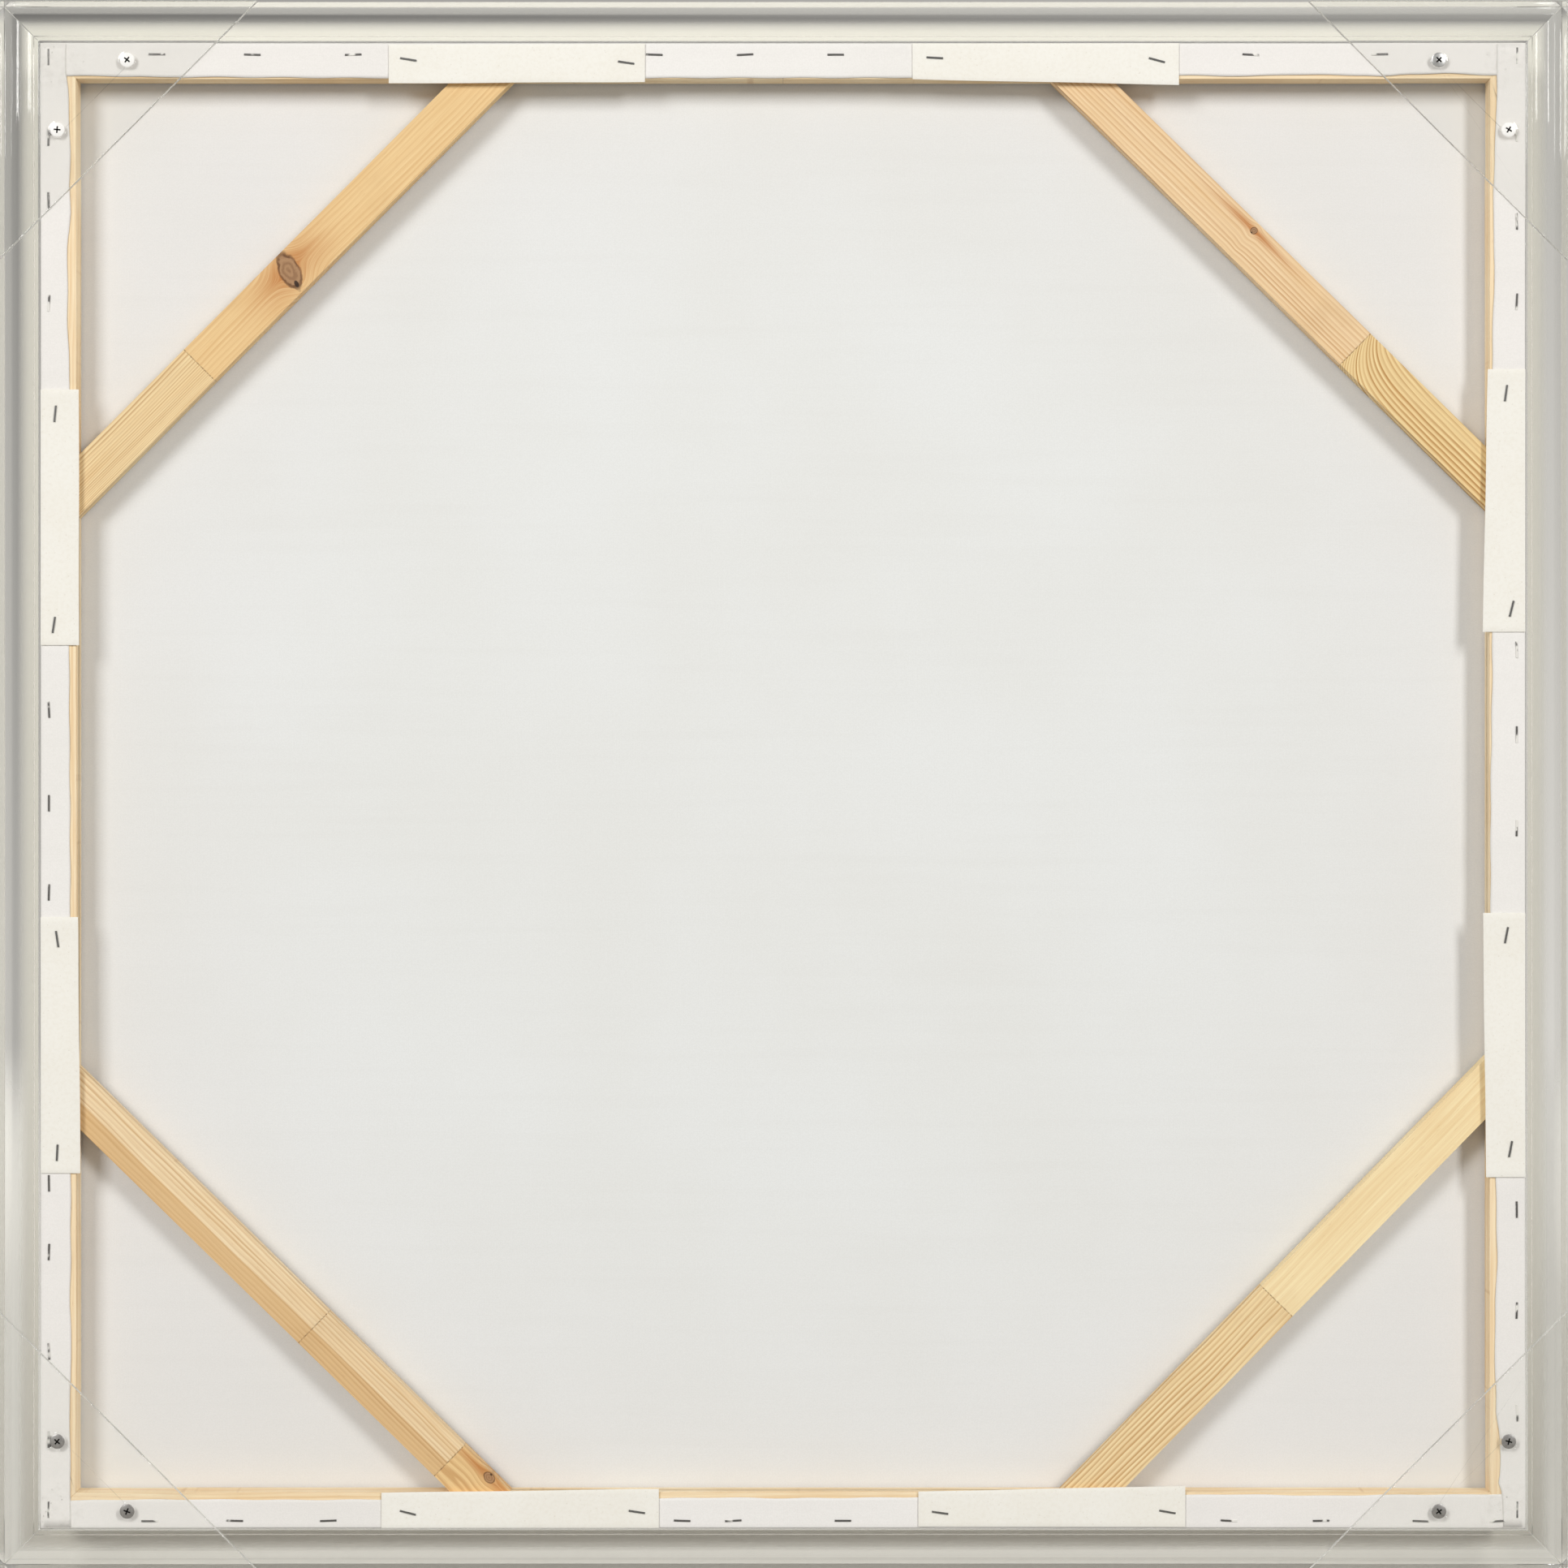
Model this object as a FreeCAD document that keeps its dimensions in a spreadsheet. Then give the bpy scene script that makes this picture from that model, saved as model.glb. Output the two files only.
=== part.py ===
"""A square stretched canvas with braced pine stretcher bars, floated in a clear acrylic frame.

Every piece is drawn about the canvas centre: X to the left and Z up as the back is seen, and Y
from the canvas front (0) towards the back. The last step moves each piece by the same amount,
so that the row frame's origin is at the middle of the frame's bottom edge.
"""

import FreeCAD, Part
import math
import os

import Sketcher
from FreeCAD import Placement, Rotation, Vector

os.makedirs("parts", exist_ok=True)
doc = FreeCAD.newDocument("stretched_canvas")

# ---------------------------------------------------------------- driving dimensions

DIMENSIONS = [
    ("canvas_side", 1016.0, "outside of the stretched cloth, each way"),
    ("cloth_thickness", 0.5, "primed canvas"),
    ("turnover", 21.0, "cloth turned over the back of the bars"),
    ("bar_width", 24.0, "stretcher bar, across its back face"),
    ("bar_depth", 20.0, "stretcher bar, front to back"),
    ("bead_width", 5.0, "front rim that alone touches the cloth"),
    ("bead_slope", 3.5, "width of the slope behind the rim"),
    ("bead_height", 3.0, "how far the rest of the front stands clear of the cloth"),
    ("arris", 1.5, "outer edge taken off the bars"),
    ("tongue_thickness", 6.0, "middle layer of the mitred bridle joint"),
    ("brace_width", 29.5, "corner brace, across"),
    ("brace_thickness", 12.0, "corner brace, front to back"),
    ("brace_setback", 3.0, "brace behind the back face of the bars"),
    ("card_thickness", 0.8, "card strip"),
    ("rail_gap", 1.0, "gap between cloth and frame"),
    ("rail_width", 27.0, "frame rail, as seen from the back"),
    ("rail_proud", 0.6, "frame's back face behind the cloth's"),
    ("lip_width", 6.5, "flat inner lip of the frame's front"),
    ("lip_height", 4.0, "inner lip in front of the cloth"),
    ("step_height", 3.0, "fall from the lip to the cove"),
    ("step_width", 2.0, "flat between the lip and the cove"),
    ("cove_radius", 26.0, "hollow of the frame's front"),
    ("bead_round", 5.5, "outer bead of the frame, across"),
    ("bead_front", 5.0, "outer bead in front of the cloth"),
    ("bead_side", 4.4, "where the bead meets the frame's outer face"),
    ("bead_radius", 14.0, "rounding of the outer bead"),
    ("plate_leg", 177.0, "corner plate, along the frame's outer edge"),
    ("plate_thickness", 4.0, "corner plate"),
    ("screw_along", 448.0, "screw from the canvas centre, along the bar"),
    ("screw_across", 495.7, "screw from the canvas centre, across the bar"),
    ("screw_sunk", 0.4, "screw head below the plate's face"),
    ("screw_head", 5.0, "radius of the countersunk head"),
    ("screw_rim", 0.5, "height of the head's upright edge"),
    ("screw_shank", 2.1, "radius of the shank"),
    ("screw_length", 20.0, "screw, head to tip"),
    ("recess_span", 4.4, "cross recess, across"),
    ("recess_slot", 1.1, "cross recess, width of a slot"),
    ("recess_depth", 1.8, "cross recess"),
    ("drill_clearance", 0.2, "plate hole round the shank"),
    ("staple_crown", 11.2, "staple, across"),
    ("wire_width", 1.2, "staple wire, flat"),
    ("wire_height", 0.6, "staple wire, thick"),
    ("staple_leg", 6.0, "staple leg below the face it is shot through"),
    ("brad_length", 38.0, "brad through a bar into a brace"),
    ("brad_shank", 0.8, "radius of a brad"),
    ("brad_head", 1.5, "radius of a brad's head"),
    ("brad_head_height", 1.0, "height of a brad's head"),
]

sheet = doc.addObject("Spreadsheet::Sheet", "Dimensions")
for row, (alias, value, note) in enumerate(DIMENSIONS, start=1):
    sheet.set(f"A{row}", alias)
    sheet.set(f"B{row}", str(value))
    sheet.setAlias(f"B{row}", alias)
    sheet.set(f"C{row}", note)
doc.recompute()


class Size:
    """A length worked out from the sheet: its value now, and the expression that binds it."""

    def __init__(self, value, text):
        self.value = value
        self.text = text

    def __add__(self, other):
        other = as_size(other)
        return Size(self.value + other.value, f"({self.text} + {other.text})")

    def __sub__(self, other):
        other = as_size(other)
        return Size(self.value - other.value, f"({self.text} - {other.text})")

    def __rsub__(self, other):
        return as_size(other) - self

    def __mul__(self, factor):
        return Size(self.value * factor, f"({self.text} * {factor})")

    def __neg__(self):
        return self * -1


def as_size(length):
    return length if isinstance(length, Size) else Size(float(length), f"({float(length)})")


def cell(alias):
    return Size(float(sheet.get(alias)), f"Dimensions.{alias}")


half_side = cell("canvas_side") * 0.5
bar_front = cell("cloth_thickness")
bar_back = bar_front + cell("bar_depth")
cloth_back = bar_back + cell("cloth_thickness")
bar_outer = half_side - cell("cloth_thickness")
bar_inner = bar_outer - cell("bar_width")
bar_middle = bar_front + cell("bar_depth") * 0.5
rail_inner = half_side + cell("rail_gap")
rail_outer = rail_inner + cell("rail_width")
rail_back = cloth_back + cell("rail_proud")
plate_back = rail_back + cell("plate_thickness")
OVERCUT = 12.0

# ---------------------------------------------------------------- helpers


def bind(thing, path, length):
    """Sets a property from the sheet and keeps it bound."""
    thing.setExpression(path, as_size(length).text)


def arc_edge(start, end, radius, bulge):
    """An arc from start to end whose middle lies to the left (+1) or right (-1) of the chord."""
    chord = end - start
    left = Vector(-chord.y, chord.x, 0).normalize()
    to_centre = math.sqrt(radius**2 - (chord.Length / 2) ** 2)
    centre = (start + end) * 0.5 - left * (bulge * to_centre)
    first, last = (end, start) if bulge > 0 else (start, end)
    angles = [math.atan2(point.y - centre.y, point.x - centre.x) for point in (first, last)]
    return Part.ArcOfCircle(Part.Circle(centre, Vector(0, 0, 1), radius), *angles)


def outline(body, name, role, points, arcs=None, offset=None):
    """A closed sketch on one of the body's origin planes, every corner bound to the sheet.

    arcs maps the number of an edge to (radius, bulge); the other edges are straight.
    """
    arcs = arcs or {}
    sketch = body.newObject("Sketcher::SketchObject", name)
    plane = next(item for item in body.Origin.OriginFeatures if item.Role == role)
    sketch.AttachmentSupport = [(plane, "")]
    sketch.MapMode = "FlatFace"
    if offset is not None:
        bind(sketch, "AttachmentOffset.Base.z", offset)
    corners = [(as_size(x), as_size(y)) for x, y in points]
    places = [Vector(x.value, y.value, 0) for x, y in corners]
    ends = []
    for edge, start in enumerate(places):
        end = places[(edge + 1) % len(places)]
        if edge in arcs:
            radius, bulge = arcs[edge]
            sketch.addGeometry(arc_edge(start, end, radius.value, bulge), False)
            ends.append((2, 1) if bulge > 0 else (1, 2))
        else:
            sketch.addGeometry(Part.LineSegment(start, end), False)
            ends.append((1, 2))
    for edge, (x, y) in enumerate(corners):
        following = (edge + 1) % len(places)
        sketch.addConstraint(
            Sketcher.Constraint("Coincident", edge, ends[edge][1], following, ends[following][0])
        )
        for kind, length in (("DistanceX", x), ("DistanceY", y)):
            number = sketch.addConstraint(
                Sketcher.Constraint(kind, -1, 1, edge, ends[edge][0], length.value)
            )
            bind(sketch, f"Constraints[{number}]", length)
    for edge, (radius, bulge) in arcs.items():
        number = sketch.addConstraint(Sketcher.Constraint("Radius", edge, radius.value))
        bind(sketch, f"Constraints[{number}]", radius)
    return sketch


def layer(body, kind, name, points, middle, thickness):
    """Adds or cuts a flat layer whose outline is in X and Z, centred on middle in Y."""
    sketch = outline(body, name + "_outline", "XZ_Plane", points, offset=-middle)
    feature = body.newObject("PartDesign::" + kind, name)
    feature.Profile = sketch
    feature.SideType = "Symmetric"
    bind(feature, "Length", thickness)
    sketch.Visibility = False
    return feature


def new_body(name):
    body = doc.addObject("PartDesign::Body", name)
    body.Label = name
    return body


def box(name, x_range, y_range, z_range):
    """A box between three pairs of sizes."""
    block = doc.addObject("Part::Box", name)
    for axis, side, (low, high) in zip("xyz", ("Length", "Width", "Height"), (x_range, y_range, z_range)):
        bind(block, side, as_size(high) - low)
        bind(block, "Placement.Base." + axis, low)
    return block


def cylinder(name, radius, length, start, direction=Vector(0, 1, 0)):
    """A cylinder along direction from the point (0, start, 0)."""
    rod = doc.addObject("Part::Cylinder", name)
    rod.Placement = Placement(Vector(0, 0, 0), Rotation(Vector(0, 0, 1), direction))
    bind(rod, "Radius", radius)
    bind(rod, "Height", length)
    bind(rod, "Placement.Base.y", start)
    return rod


def fused(name, pieces):
    union = doc.addObject("Part::MultiFuse", name)
    union.Shapes = pieces
    return union


def cut(name, blank, tool):
    """The blank less the tool, as a sub-part with its own label."""
    result = doc.addObject("Part::Cut", name + "_cut")
    result.Base = blank
    result.Tool = tool
    result.Label = name
    return result


def group(name, master, places):
    """Copies of one piece's shape at many places, as separate solids that never leave them."""
    doc.recompute()
    copies = []
    for place in places:
        copy = master.Shape.copy()
        copy.Placement = place.multiply(copy.Placement)
        copies.append(copy)
    feature = doc.addObject("Part::Feature", name + "_set")
    feature.Shape = Part.makeCompound(copies)
    return feature


def movable(name, fixed_set):
    """A set of fasteners as a sub-part, which can move while the holes it cuts stay put."""
    compound = doc.addObject("Part::Compound", name)
    compound.Links = [fixed_set]
    compound.Label = name
    return compound


def turned(degrees, x=0.0, y=0.0, z=0.0):
    """A place at (x, y, z), turned about the front-to-back axis."""
    return Placement(Vector(x, y, z), Rotation(Vector(0, 1, 0), degrees))


# Turning the bottom piece about the canvas centre puts it on each side in turn.
SIDES = {"bottom": 0, "right": 90, "top": 180, "left": 270}


def on_side(side, along, inset, tilt=0.0, y=0.0):
    """A place on a side: along is X or Z from the centre, inset is in from the cloth's edge.

    The piece's own X axis runs along the side, and tilt is clockwise as the back is seen.
    """
    across = half_side.value - inset
    spots = {
        "bottom": turned(-tilt, along, y, -across),
        "top": turned(-tilt, along, y, across),
        "left": turned(90 - tilt, across, y, along),
        "right": turned(90 - tilt, -across, y, along),
    }
    return spots[side]


# ---------------------------------------------------------------- fasteners

# Cloth staples, from the canvas centre along each side, and how far in from the cloth's edge.
CLOTH_STAPLES = {
    "top": (8.0, (428, 363, 294, 228, 161, 88, 26, -36, -124, -186, -320, -408)),
    "left": (5.9, (498, 443, 400, 330, 226, 154, 52, -12, -73, -134, -201, -272, -319, -387, -447, -495)),
    "right": (6.1, (499, 446, 386, 331, 226, 160, 93, 35, -29, -129, -195, -290, -359, -429, -495)),
    "bottom": (5.2, (433, 375, 311, 225, 147, 69, 34, -41, -136, -208, -305, -368, -436, -489)),
}
TILTS = (0.0, 1.5, -2.0, 3.0, -1.0, 2.0, -3.0)

# Card strips: side, the two ends along it, and at each end the outer and inner edge, in from
# the cloth's edge. Then its two staples: place along the side, inset and clockwise tilt.
CARDS = {
    "card_strip_top_left": ("top", (269.6, 94.4), (1.3, 0.6), (27.8, 26.8),
                            ((256.2, 11.4, 9.0), (107.2, 13.6, 8.5))),
    "card_strip_top_right": ("top", (-88.6, -270.8), (0.4, 0.3), (25.0, 28.8),
                             ((-103.8, 10.3, 3.0), (-255.7, 11.9, 15.0))),
    "card_strip_left_upper": ("left", (270.9, 96.0), (0.3, 0.3), (26.5, 26.5),
                              ((254.3, 10.3, 5.7), (109.9, 9.4, 8.5))),
    "card_strip_left_lower": ("left", (-89.9, -265.1), (0.3, 0.5), (25.8, 27.6),
                              ((-104.9, 11.7, -8.5), (-251.0, 11.7, 3.0))),
    "card_strip_right_upper": ("right", (284.8, 105.1), (0.3, 0.3), (26.0, 29.4),
                               ((268.4, 13.6, 8.0), (121.0, 9.7, 14.0))),
    "card_strip_right_lower": ("right", (-87.1, -267.8), (0.3, 0.3), (29.3, 27.1),
                               ((-102.2, 13.3, 11.0), (-248.5, 10.5, 11.0))),
    "card_strip_bottom_left": ("bottom", (274.6, 84.9), (0.3, 0.3), (24.4, 27.0),
                               ((256.5, 10.8, 14.0), (99.9, 11.4, 8.5))),
    "card_strip_bottom_right": ("bottom", (-92.6, -275.1), (1.3, 1.0), (25.2, 29.1),
                                ((-107.4, 10.8, 8.0), (-262.9, 11.4, 10.0))),
}


def staple():
    """A staple: a flat crown on the face at Y 0, and two legs down through it."""
    half_crown = cell("staple_crown") * 0.5
    wire = cell("wire_width") * 0.5
    down = -cell("staple_leg")
    rise = cell("wire_height")
    crown = box("staple_crown_bar", (-half_crown, half_crown), (0, rise), (-wire, wire))
    legs = [
        box("staple_leg_a", (-half_crown, rise - half_crown), (down, 0), (-wire, wire)),
        box("staple_leg_b", (half_crown - rise, half_crown), (down, 0), (-wire, wire)),
    ]
    return fused("staple", [crown] + legs)


def cloth_staple_places():
    for side, (inset, stops) in CLOTH_STAPLES.items():
        for number, along in enumerate(stops):
            tilt = TILTS[number % len(TILTS)]
            yield on_side(side, along, inset, tilt, cloth_back.value)


def card_staple_places():
    for side, ends, outer, inner, staples in CARDS.values():
        for along, inset, tilt in staples:
            yield on_side(side, along, inset, tilt, cloth_back.value + cell("card_thickness").value)


def screw():
    """A countersunk screw pointing at the canvas front, its head's top at Y 0."""
    head = cell("screw_head")
    rim = cell("screw_rim")
    shank = cell("screw_shank")
    sink = head - shank
    point = shank * 1.5
    forward = Vector(0, -1, 0)
    top = cylinder("screw_rim_disc", head, rim, 0, forward)
    cone = doc.addObject("Part::Cone", "screw_cone")
    cone.Placement = Placement(Vector(0, 0, 0), Rotation(Vector(0, 0, 1), forward))
    bind(cone, "Radius1", head)
    bind(cone, "Radius2", shank)
    bind(cone, "Height", sink)
    bind(cone, "Placement.Base.y", -rim)
    rod_length = cell("screw_length") - rim - sink - point
    rod = cylinder("screw_rod", shank, rod_length, -(rim + sink), forward)
    tip = doc.addObject("Part::Cone", "screw_tip")
    tip.Placement = Placement(Vector(0, 0, 0), Rotation(Vector(0, 0, 1), forward))
    bind(tip, "Radius1", shank)
    tip.Radius2 = 0
    bind(tip, "Height", point)
    bind(tip, "Placement.Base.y", point - cell("screw_length"))
    span = cell("recess_span") * 0.5
    slot = cell("recess_slot") * 0.5
    depth = -cell("recess_depth")
    cross = fused(
        "screw_cross",
        [
            box("recess_a", (-span, span), (depth, 1), (-slot, slot)),
            box("recess_b", (-slot, slot), (depth, 1), (-span, span)),
        ],
    )
    return cut("screw", fused("screw_blank", [top, cone, rod, tip]), cross)


def plate_drill():
    """What one screw's countersunk hole takes out of a plate, from the head's top at Y 0."""
    sunk = cell("screw_sunk")
    mouth_radius = cell("screw_head") + cell("screw_rim") + sunk
    hole = cell("screw_shank") + cell("drill_clearance")
    forward = Vector(0, -1, 0)
    mouth = cylinder("drill_mouth", mouth_radius, 1, sunk + 1, forward)
    flare = doc.addObject("Part::Cone", "drill_flare")
    flare.Placement = Placement(Vector(0, 0, 0), Rotation(Vector(0, 0, 1), forward))
    bind(flare, "Radius1", mouth_radius)
    bind(flare, "Radius2", hole)
    bind(flare, "Height", mouth_radius - hole)
    bind(flare, "Placement.Base.y", sunk)
    through = cylinder("drill_through", hole, cell("plate_thickness") * 2, 0, forward)
    return fused("plate_drill_tool", [mouth, flare, through])


SCREW_TURNS = {"top_left": (38, 5), "top_right": (45, 32), "bottom_left": (20, 40), "bottom_right": (55, 15)}
CORNERS = {"top_left": (1, 1), "top_right": (-1, 1), "bottom_left": (1, -1), "bottom_right": (-1, -1)}


def corner_screw_places(corner):
    """The two screws of one corner plate, one in each bar that it covers."""
    across_x, across_z = CORNERS[corner]
    along = cell("screw_along").value
    across = cell("screw_across").value
    depth = plate_back.value - cell("screw_sunk").value
    first, second = SCREW_TURNS[corner]
    yield turned(first, across_x * along, depth, across_z * across)
    yield turned(second, across_x * across, depth, across_z * along)


# Corner braces: where each brace's centre line meets the two bars, along each from the centre.
BRACES = {
    "top_left": (205.5, 204.5),
    "top_right": (204.4, 209.4),
    "bottom_left": (207.4, 212.8),
    "bottom_right": (210.9, 205.3),
}
BRAD_STEPS = (-3.0, 11.0)


def brad():
    """A brad along Z: its head's top at Z 0, driven downwards."""
    down = Vector(0, 0, -1)
    head = cylinder("brad_head_disc", cell("brad_head"), cell("brad_head_height"), 0, down)
    shank = cylinder("brad_shank_rod", cell("brad_shank"), cell("brad_length"), 0, down)
    return fused("brad", [head, shank])


def brad_places():
    """Two brads from outside each bar into each brace end, square to the bar."""
    depth = bar_back.value - cell("brace_setback").value - cell("brace_thickness").value / 2
    for corner, (on_bar, on_side_bar) in BRACES.items():
        side_x, side_z = CORNERS[corner]
        for step in BRAD_STEPS:
            flip = 0 if side_z > 0 else 180
            yield turned(flip, side_x * (on_bar + step), depth, side_z * bar_outer.value)
            yield turned(side_x * 90, side_x * bar_outer.value, depth, side_z * (on_side_bar + step))


# ---------------------------------------------------------------- wood


def stretcher_bar(side, has_tongue):
    """One bar: a moulded profile, mitred at both ends, with a tongue or a slot at each."""
    body = new_body(f"stretcher_{side}_blank")
    relief = bar_front + cell("bead_height")
    rim = bar_outer - cell("bead_width")
    arris = cell("arris")
    profile = [
        (bar_front, arris - bar_outer),
        (bar_front + arris, -bar_outer),
        (bar_back - arris, -bar_outer),
        (bar_back, arris - bar_outer),
        (bar_back, -bar_inner),
        (relief, -bar_inner),
        (relief, cell("bead_slope") - rim),
        (bar_front, -rim),
    ]
    pad = body.newObject("PartDesign::Pad", f"{side}_length")
    pad.Profile = outline(body, f"{side}_profile", "YZ_Plane", profile)
    pad.SideType = "Symmetric"
    bind(pad, "Length", bar_outer * 2)
    for end in (1, -1):
        corner = (bar_outer + OVERCUT) * end
        heel = (bar_inner - OVERCUT) * end
        mitre = [
            (corner, -bar_outer - OVERCUT),
            (heel, OVERCUT - bar_inner),
            (corner, OVERCUT - bar_inner),
        ]
        layer(body, "Pocket", f"{side}_mitre_{end + 1}", mitre, bar_middle, cell("bar_depth") * 2)
        if has_tongue:
            tongue = [
                (bar_outer * end, -bar_outer),
                (bar_inner * end, -bar_inner),
                (bar_outer * end, -bar_inner),
            ]
            layer(body, "Pad", f"{side}_tongue_{end + 1}", tongue, bar_middle, cell("tongue_thickness"))
        else:
            slot = [
                (corner, -bar_outer - OVERCUT),
                (bar_inner * end, -bar_inner),
                (bar_inner * end, -bar_outer - OVERCUT),
            ]
            layer(body, "Pocket", f"{side}_slot_{end + 1}", slot, bar_middle, cell("tongue_thickness"))
    body.Placement = turned(SIDES[side])
    return body


def corner_brace(corner):
    """A brace across one corner, its ends mitred to lie against both bars."""
    body = new_body(f"brace_{corner}_blank")
    side_x, side_z = CORNERS[corner]
    on_bar, on_side_bar = BRACES[corner]
    reach = cell("brace_width") * (math.sqrt(2) / 2)
    points = [
        ((as_size(on_bar) - reach) * side_x, bar_inner * side_z),
        ((as_size(on_bar) + reach) * side_x, bar_inner * side_z),
        (bar_inner * side_x, (as_size(on_side_bar) + reach) * side_z),
        (bar_inner * side_x, (as_size(on_side_bar) - reach) * side_z),
    ]
    middle = bar_back - cell("brace_setback") - cell("brace_thickness") * 0.5
    layer(body, "Pad", f"{corner}_board", points, middle, cell("brace_thickness"))
    return body


# ---------------------------------------------------------------- cloth and card


def canvas_cloth():
    """The cloth as stretched: a shallow tray round the bars, turned over their backs."""
    open_half = half_side - cell("turnover")
    whole = box("cloth_block", (-half_side, half_side), (0, cloth_back), (-half_side, half_side))
    inside = box("cloth_inside", (-bar_outer, bar_outer), (bar_front, bar_back), (-bar_outer, bar_outer))
    opening = box(
        "cloth_opening", (-open_half, open_half), (bar_middle, cloth_back + 1), (-open_half, open_half)
    )
    return whole, fused("cloth_hollow", [inside, opening])


def card_strip(name):
    """A card strip stapled over the end of a brace, a little out of square."""
    side, ends, outer, inner, staples = CARDS[name]
    body = new_body(name + "_blank")
    sign = 1 if side in ("top", "left") else -1
    corners = [(ends[0], outer[0]), (ends[1], outer[1]), (ends[1], inner[1]), (ends[0], inner[0])]
    points = []
    for along, inset in corners:
        across = (half_side - inset) * sign
        points.append((along, across) if side in ("top", "bottom") else (across, along))
    middle = cloth_back + cell("card_thickness") * 0.5
    layer(body, "Pad", name + "_sheet", points, middle, cell("card_thickness"))
    return body


# ---------------------------------------------------------------- clear frame


def frame_rail(side):
    """A clear rail: flat back, and a front with an outer bead, a cove and an inner lip."""
    body = new_body("frame_rail_" + side)
    lip_front = -cell("lip_height")
    step_front = cell("step_height") - cell("lip_height")
    lip_edge = rail_inner + cell("lip_width")
    step_edge = lip_edge + cell("step_width")
    bead_edge = rail_outer - cell("bead_round")
    profile = [
        (rail_back, -rail_outer),
        (rail_back, -rail_inner),
        (lip_front, -rail_inner),
        (lip_front, -lip_edge),
        (step_front, -lip_edge),
        (step_front, -step_edge),
        (-cell("bead_front"), -bead_edge),
        (-cell("bead_side"), -rail_outer),
    ]
    arcs = {5: (cell("cove_radius"), 1), 6: (cell("bead_radius"), -1)}
    pad = body.newObject("PartDesign::Pad", f"rail_{side}_length")
    pad.Profile = outline(body, f"rail_{side}_profile", "YZ_Plane", profile, arcs)
    pad.SideType = "Symmetric"
    bind(pad, "Length", rail_outer * 2)
    for end in (1, -1):
        corner = (rail_outer + OVERCUT) * end
        heel = (rail_inner - OVERCUT) * end
        mitre = [
            (corner, -rail_outer - OVERCUT),
            (heel, OVERCUT - rail_inner),
            (corner, OVERCUT - rail_inner),
        ]
        layer(body, "Pocket", f"rail_{side}_mitre_{end + 1}", mitre, bar_middle, cell("bar_depth") * 4)
    body.Placement = turned(SIDES[side])
    return body


def corner_plate(corner):
    """A clear triangle over one corner, its two short edges flush with the frame's outside."""
    body = new_body(f"plate_{corner}_blank")
    side_x, side_z = CORNERS[corner]
    far = rail_outer - cell("plate_leg")
    points = [
        (rail_outer * side_x, rail_outer * side_z),
        (far * side_x, rail_outer * side_z),
        (rail_outer * side_x, far * side_z),
    ]
    middle = rail_back + cell("plate_thickness") * 0.5
    layer(body, "Pad", f"{corner}_plate_sheet", points, middle, cell("plate_thickness"))
    return body


# ---------------------------------------------------------------- assembly

screw_places = [place for corner in CORNERS for place in corner_screw_places(corner)]
staple_shape = staple()
canvas_staples = group("canvas_staples", staple_shape, list(cloth_staple_places()))
card_staples = group("card_staples", staple_shape, list(card_staple_places()))
plate_screws = group("plate_screws", screw(), screw_places)
brace_brads = group("brace_brads", brad(), list(brad_places()))
drill_holes = group("drill_holes", plate_drill(), screw_places)

subparts = [
    movable("canvas_staples", canvas_staples),
    movable("card_staples", card_staples),
    movable("plate_screws", plate_screws),
    movable("brace_brads", brace_brads),
]
fasteners = doc.addObject("Part::Compound", "fasteners")
fasteners.Links = [canvas_staples, card_staples, plate_screws, brace_brads]

for side in SIDES:
    blank = stretcher_bar(side, has_tongue=side in ("top", "bottom"))
    subparts.append(cut("stretcher_bar_" + side, blank, fasteners))
for corner in CORNERS:
    subparts.append(cut("corner_brace_" + corner, corner_brace(corner), brace_brads))
    subparts.append(cut("corner_plate_" + corner, corner_plate(corner), drill_holes))
for name in CARDS:
    staples = doc.addObject("Part::Compound", name + "_staples")
    staples.Links = [canvas_staples, card_staples]
    subparts.append(cut(name, card_strip(name), staples))
cloth_block, cloth_hollow = canvas_cloth()
cloth_tool = fused("cloth_tool", [cloth_hollow, canvas_staples, card_staples, plate_screws])
subparts.append(cut("canvas", cloth_block, cloth_tool))
for side in SIDES:
    subparts.append(frame_rail(side))

doc.recompute()

# The frame stands on its bottom edge, midway between its frontmost and rearmost faces.
rail_shape = next(item for item in subparts if item.Label == "frame_rail_bottom").Shape
front_most = rail_shape.BoundBox.YMin
forward = -(front_most + plate_back.value) / 2
for item in subparts:
    turn = item.Placement.Rotation
    item.Placement = Placement(Vector(0, forward, rail_outer.value), turn)
doc.recompute()

# ---------------------------------------------------------------- checks and export

for item in doc.Objects:
    bad = [state for state in item.State if state in ("Invalid", "Error")]
    if bad:
        raise RuntimeError(f"{item.Label} is {bad}")
for item in subparts:
    if item.Shape.isNull() or not item.Shape.isValid() or not item.Shape.Solids:
        raise RuntimeError(f"{item.Label} has no valid solid")

for item in subparts:
    item.Shape.exportStep(f"parts/{item.Label}.step")
    solids = len(item.Shape.Solids)
    print(f"{item.Label:28s} {solids:3d} solids {item.Shape.Volume / 1000:9.2f} cm3")
print("front to back", front_most, plate_back.value, "moved by", forward)
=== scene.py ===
"""Blender scene: a square stretched canvas seen from the back, floated in a clear acrylic frame.

Everything is in metres, in the row frame: Z up, the canvas front towards -Y, its back towards +Y,
and +X on the left as the back is seen.
"""

import math
import random

import bmesh
import bpy
from mathutils import Matrix, Vector


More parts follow.
